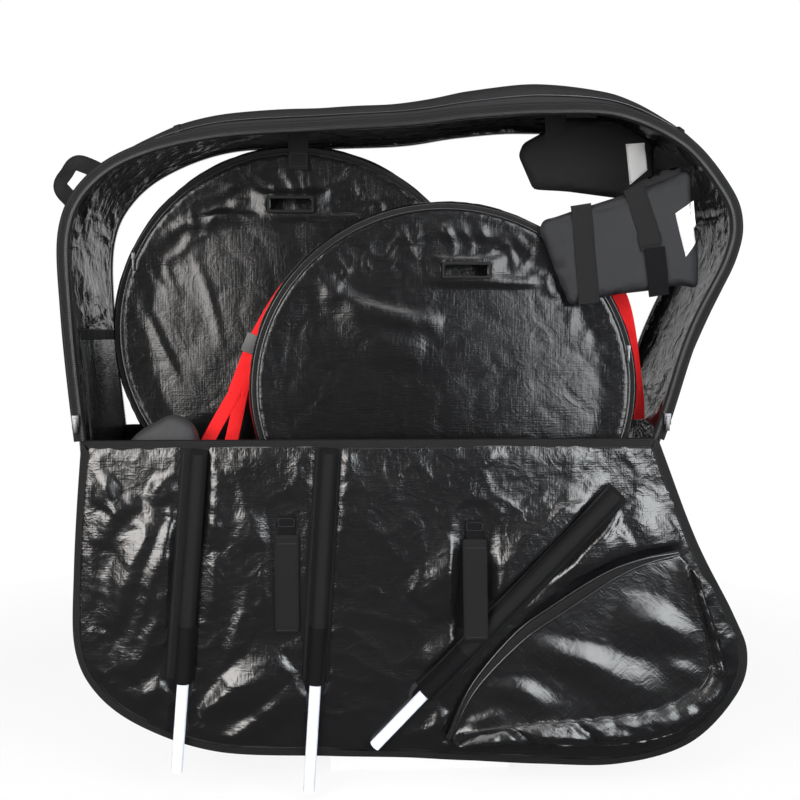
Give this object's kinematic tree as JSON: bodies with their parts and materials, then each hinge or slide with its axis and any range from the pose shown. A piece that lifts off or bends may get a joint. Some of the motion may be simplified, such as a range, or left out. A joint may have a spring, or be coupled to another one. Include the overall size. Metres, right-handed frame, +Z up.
{
  "type": "soft bicycle travel bag",
  "caption": "Padded soft travel bag for a bicycle, with a rigid base, rollers, zip-down side panels, round wheel bags, tie-down strap, handlebar pads and a parts pouch.",
  "frame": {"origin": "middle of the base tray's underside", "axes": "+X along the bag towards its taller end with the rollers, -Y towards the front panel, +Z up"},
  "size_m": [1.2515, 0.3746, 1.2755],
  "materials": {
    "outer_fabric": "matt woven nylon over foam",
    "lining_tarp": "shiny coated tarpaulin with a fine woven grid",
    "webbing": "black webbing and binding tape",
    "pad_nylon": "dark slate-grey padded nylon",
    "red_webbing": "bright red woven webbing",
    "tube_white": "smooth white plastic tube",
    "zip_metal": "black painted zip slider",
    "moulded_plastic": "black moulded plastic",
    "rubber": "black rubber tread",
    "steel": "plain steel rod"
  },
  "bodies": {
    "root": {"base_tray": "moulded_plastic", "floor_pad": "lining_tarp", "shell_arch": "outer_fabric", "arch_lining": "lining_tarp", "tub_front_wall": "outer_fabric", "tub_rear_wall": "outer_fabric", "front_zip_tape": "webbing", "rear_zip_tape": "webbing", "inner_pocket": "webbing", "carry_loop": "webbing", "left_side_handle": "webbing", "right_side_handle": "webbing", "roller_housing": "moulded_plastic", "roller_axle": "steel", "tie_down_strap": "red_webbing", "cam_buckle": "moulded_plastic"},
    "front_panel": {"front_panel_shell": "outer_fabric", "front_panel_lining": "lining_tarp", "front_panel_binding": "webbing", "front_sleeve_left": "webbing", "front_sleeve_middle": "webbing", "front_sleeve_slanted": "webbing", "panel_pocket": "lining_tarp"},
    "rear_panel": {"rear_panel_shell": "outer_fabric", "rear_panel_lining": "lining_tarp", "rear_panel_binding": "webbing", "rear_sleeve_left": "webbing", "rear_sleeve_middle": "webbing", "rear_sleeve_slanted": "webbing"},
    "front_tube_left": {"front_tube_left": "tube_white"},
    "front_tube_middle": {"front_tube_middle": "tube_white"},
    "front_tube_slanted": {"front_tube_slanted": "tube_white"},
    "rear_tube_left": {"rear_tube_left": "tube_white"},
    "rear_tube_middle": {"rear_tube_middle": "tube_white"},
    "rear_tube_slanted": {"rear_tube_slanted": "tube_white"},
    "leg_strap_left": {"leg_strap_left": "webbing"},
    "leg_strap_right": {"leg_strap_right": "webbing"},
    "front_zip_slider_left": {"front_zip_slider_left": "zip_metal"},
    "front_zip_slider_right": {"front_zip_slider_right": "zip_metal"},
    "rear_zip_slider_left": {"rear_zip_slider_left": "zip_metal"},
    "rear_zip_slider_right": {"rear_zip_slider_right": "zip_metal"},
    "front_roller": {"front_roller": "rubber"},
    "rear_roller": {"rear_roller": "rubber"},
    "buckle_lever": {"buckle_lever": "moulded_plastic"},
    "front_wheel_bag": {"front_wheel_bag_front_cover": "lining_tarp", "front_wheel_bag_back_cover": "lining_tarp", "front_wheel_bag_gusset": "lining_tarp", "front_wheel_bag_grip": "webbing"},
    "rear_wheel_bag": {"rear_wheel_bag_front_cover": "lining_tarp", "rear_wheel_bag_back_cover": "lining_tarp", "rear_wheel_bag_gusset": "lining_tarp", "rear_wheel_bag_grip": "webbing", "hanger_strap": "webbing"},
    "front_handlebar_pad": {"front_handlebar_pad": "pad_nylon", "front_pad_strap_left": "webbing", "front_pad_strap_right": "webbing"},
    "rear_handlebar_pad": {"rear_handlebar_pad": "pad_nylon", "rear_pad_strap_left": "webbing", "rear_pad_strap_right": "webbing"},
    "parts_pouch": {"parts_pouch": "pad_nylon"}
  },
  "joints": [
    {"name": "front_panel_fold", "type": "hinge", "parent": "root", "child": "front_panel", "pos_m": [0, -0.1575, 0.2975], "axis": [-1, 0, 0], "range_deg": [0, 175]},
    {"name": "rear_panel_fold", "type": "hinge", "parent": "root", "child": "rear_panel", "pos_m": [0, 0.1575, 0.2975], "axis": [1, 0, 0], "range_deg": [0, 175]},
    {"name": "front_tube_left_slide", "type": "slide", "parent": "front_panel", "child": "front_tube_left", "axis": [0.0849, 0, 0.9964], "range_m": [0, 0.16]},
    {"name": "front_tube_middle_slide", "type": "slide", "parent": "front_panel", "child": "front_tube_middle", "axis": [0.0648, 0, 0.9979], "range_m": [0, 0.19]},
    {"name": "front_tube_slanted_slide", "type": "slide", "parent": "front_panel", "child": "front_tube_slanted", "axis": [0.691, 0, 0.7229], "range_m": [0, 0.13]},
    {"name": "rear_tube_left_slide", "type": "slide", "parent": "rear_panel", "child": "rear_tube_left", "axis": [0.0818, 0, 0.9967], "range_m": [0, 0.16]},
    {"name": "rear_tube_middle_slide", "type": "slide", "parent": "rear_panel", "child": "rear_tube_middle", "axis": [0.0624, 0, 0.9981], "range_m": [0, 0.19]},
    {"name": "rear_tube_slanted_slide", "type": "slide", "parent": "rear_panel", "child": "rear_tube_slanted", "axis": [0.677, 0, 0.736], "range_m": [0, 0.13]},
    {"name": "leg_strap_left_swing", "type": "hinge", "parent": "front_panel", "child": "leg_strap_left", "pos_m": [-0.12144, -0.1586, 0.16638], "axis": [1, 0, 0], "range_deg": [-150, 0]},
    {"name": "leg_strap_right_swing", "type": "hinge", "parent": "front_panel", "child": "leg_strap_right", "pos_m": [0.20873, -0.1586, 0.15575], "axis": [1, 0, 0], "range_deg": [-140, 0]},
    {"name": "front_zip_left_slide", "type": "slide", "parent": "root", "child": "front_zip_slider_left", "axis": [-0.0877, 0, 0.9961], "range_m": [0, 0.1]},
    {"name": "front_zip_right_slide", "type": "slide", "parent": "root", "child": "front_zip_slider_right", "axis": [0.2909, 0, 0.9568], "range_m": [0, 0.1]},
    {"name": "rear_zip_left_slide", "type": "slide", "parent": "root", "child": "rear_zip_slider_left", "axis": [-0.0877, 0, 0.9961], "range_m": [0, 0.1]},
    {"name": "rear_zip_right_slide", "type": "slide", "parent": "root", "child": "rear_zip_slider_right", "axis": [0.2909, 0, 0.9568], "range_m": [0, 0.1]},
    {"name": "front_roller_spin", "type": "hinge", "parent": "root", "child": "front_roller", "pos_m": [0.51848, 0, 0.031], "axis": [0, 1, 0], "continuous": true},
    {"name": "rear_roller_spin", "type": "hinge", "parent": "root", "child": "rear_roller", "pos_m": [0.51848, 0, 0.031], "axis": [0, 1, 0], "continuous": true},
    {"name": "buckle_lever_swing", "type": "hinge", "parent": "root", "child": "buckle_lever", "pos_m": [-0.1883, -0.0296, 0.4553], "axis": [-0.9263, 0, 0.3767], "range_deg": [0, 70]},
    {"name": "front_wheel_bag_lift", "type": "slide", "parent": "root", "child": "front_wheel_bag", "axis": [0, 0, 1], "range_m": [0, 0.05]},
    {"name": "rear_wheel_bag_swing", "type": "hinge", "parent": "root", "child": "rear_wheel_bag", "pos_m": [-0.107, 0.0067, 0.8692], "axis": [1, 0, 0], "range_deg": [0, 4]},
    {"name": "front_pad_lift", "type": "slide", "parent": "root", "child": "front_handlebar_pad", "axis": [0, 0, 1], "range_m": [0, 0.03]},
    {"name": "rear_pad_swing", "type": "hinge", "parent": "root", "child": "rear_handlebar_pad", "pos_m": [0.42694, 0.0089, 0.8861], "axis": [1, 0, 0], "range_deg": [0, 20]},
    {"name": "parts_pouch_lift", "type": "slide", "parent": "root", "child": "parts_pouch", "axis": [0, 0, 1], "range_m": [0, 0.25]}
  ]
}
